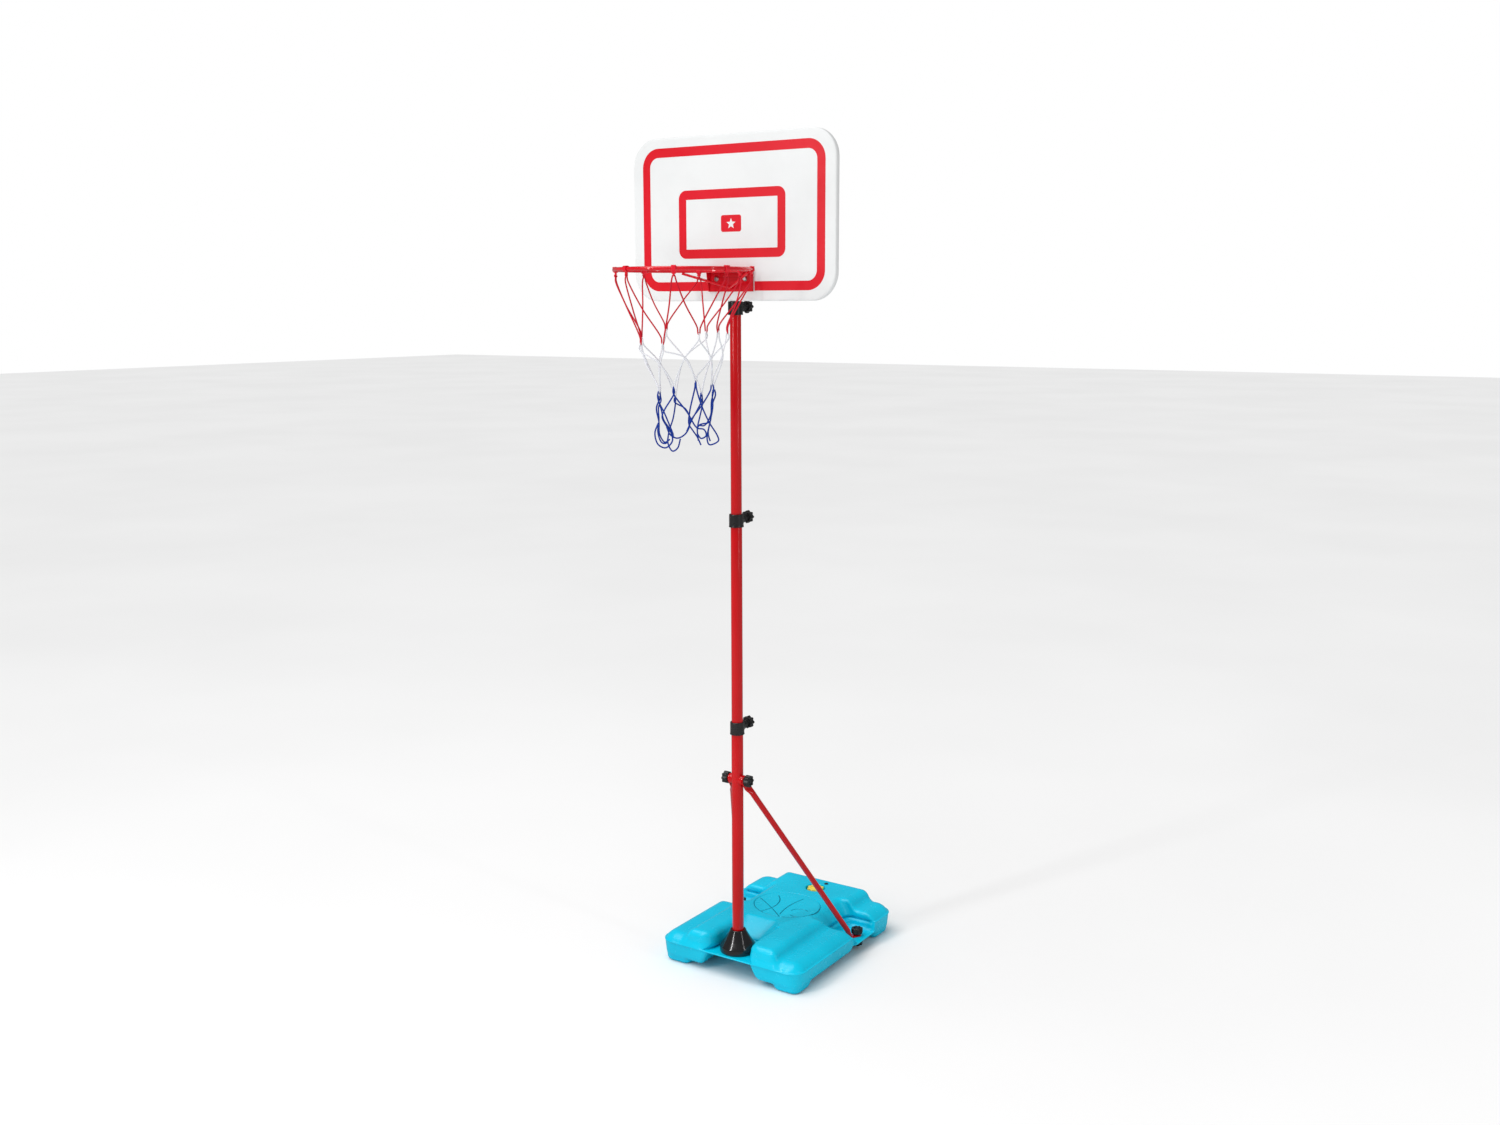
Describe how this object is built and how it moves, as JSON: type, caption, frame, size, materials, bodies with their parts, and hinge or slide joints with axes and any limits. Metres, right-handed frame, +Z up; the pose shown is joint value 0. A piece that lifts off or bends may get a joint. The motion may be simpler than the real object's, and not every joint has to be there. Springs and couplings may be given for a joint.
{
  "type": "portable basketball hoop",
  "caption": "Portable basketball hoop with a fillable plastic base, telescoping pole held by clamp collars, rear braces, moulded backboard, round rim and corded net.",
  "frame": {"origin": "on the floor, under the middle of the whole object's bounding box; the pole axis is at x = 0, y = -0.035 m", "axes": "+Z up, the rim reaches toward -Y, the base toward +Y, +X to the right seen from behind the pole"},
  "size_m": [0.5, 0.72, 1.8275],
  "materials": {
    "tank_plastic": "satin",
    "cap_plastic": "satin",
    "rubber": "matte",
    "dark_plastic": "matte",
    "black_plastic": "satin",
    "zinc": "zinc plated",
    "painted_red": "gloss powder coat",
    "board_plastic": "satin, printed red bands",
    "rim_red": "gloss powder coat",
    "clip_plastic": "satin",
    "net_cord": "braided cord, red above white above blue"
  },
  "bodies": {
    "base": {"base_tank": "tank_plastic", "foot_cone": "black_plastic", "foot_plug": "dark_plastic", "foot_bolt": "zinc", "foot_washer": "zinc", "lower_tube": "painted_red", "lower_collar": "black_plastic", "lower_collar_nut": "zinc", "brace_pads": "painted_red", "right_brace": "painted_red", "left_brace": "painted_red", "right_base_nut": "black_plastic", "left_base_nut": "black_plastic"},
    "middle_section": {"middle_tube": "painted_red", "middle_collar": "black_plastic", "middle_collar_nut": "zinc"},
    "top_section": {"top_tube": "painted_red", "top_collar": "black_plastic", "top_collar_nut": "zinc"},
    "head": {"board_tube": "painted_red", "tube_plug": "black_plastic", "backboard": "board_plastic", "board_clamp": "zinc", "clamp_screw": "zinc", "rim_bracket": "rim_red", "rim_ring": "rim_red", "rim_strut": "rim_red", "rim_bolts": "zinc", "rim_nuts": "zinc", "net_clips": "clip_plastic", "net": "net_cord"},
    "lower_knob": {"lower_collar_knob": "black_plastic"},
    "middle_knob": {"middle_collar_knob": "black_plastic"},
    "top_knob": {"top_collar_knob": "black_plastic"},
    "right_upper_knob": {"right_brace_knob": "black_plastic"},
    "left_upper_knob": {"left_brace_knob": "black_plastic"},
    "right_foot_knob": {"right_base_knob": "black_plastic"},
    "left_foot_knob": {"left_base_knob": "black_plastic"},
    "cap": {"filler_cap": "cap_plastic", "cap_seal": "rubber"},
    "vent": {"vent_plug": "dark_plastic"}
  },
  "joints": [
    {"name": "middle_section_slide", "type": "slide", "parent": "base", "child": "middle_section", "axis": [0, 0, 1], "range_m": [-0.4, 0]},
    {"name": "top_section_slide", "type": "slide", "parent": "middle_section", "child": "top_section", "axis": [0, 0, 1], "range_m": [-0.4, 0]},
    {"name": "head_slide", "type": "slide", "parent": "top_section", "child": "head", "axis": [0, 0, 1], "range_m": [0, 0.06]},
    {"name": "lower_knob_turn", "type": "hinge", "parent": "base", "child": "lower_knob", "pos_m": [0, 0.003, 0.571], "axis": [0, 1, 0], "range_deg": [0, 720]},
    {"name": "middle_knob_turn", "type": "hinge", "parent": "middle_section", "child": "middle_knob", "pos_m": [0, 0.003, 1.03], "axis": [0, 1, 0], "range_deg": [0, 720]},
    {"name": "top_knob_turn", "type": "hinge", "parent": "top_section", "child": "top_knob", "pos_m": [0, 0.003, 1.478], "axis": [0, 1, 0], "range_deg": [0, 720]},
    {"name": "right_upper_knob_turn", "type": "hinge", "parent": "base", "child": "right_upper_knob", "pos_m": [0.023, -0.035, 0.451], "axis": [1, 0, 0], "range_deg": [0, 720]},
    {"name": "left_upper_knob_turn", "type": "hinge", "parent": "base", "child": "left_upper_knob", "pos_m": [-0.023, -0.035, 0.451], "axis": [-1, 0, 0], "range_deg": [0, 720]},
    {"name": "right_foot_knob_turn", "type": "hinge", "parent": "base", "child": "right_foot_knob", "pos_m": [0.163, 0.22, 0.037], "axis": [0, 0, 1], "range_deg": [0, 720]},
    {"name": "left_foot_knob_turn", "type": "hinge", "parent": "base", "child": "left_foot_knob", "pos_m": [-0.163, 0.22, 0.037], "axis": [0, 0, 1], "range_deg": [0, 720]},
    {"name": "cap_turn", "type": "hinge", "parent": "base", "child": "cap", "pos_m": [0.008, 0.291, 0.081], "axis": [0, 0, 1], "range_deg": [0, 450]},
    {"name": "vent_lift", "type": "slide", "parent": "base", "child": "vent", "axis": [0, 0, 1], "range_m": [0, 0.012]}
  ]
}
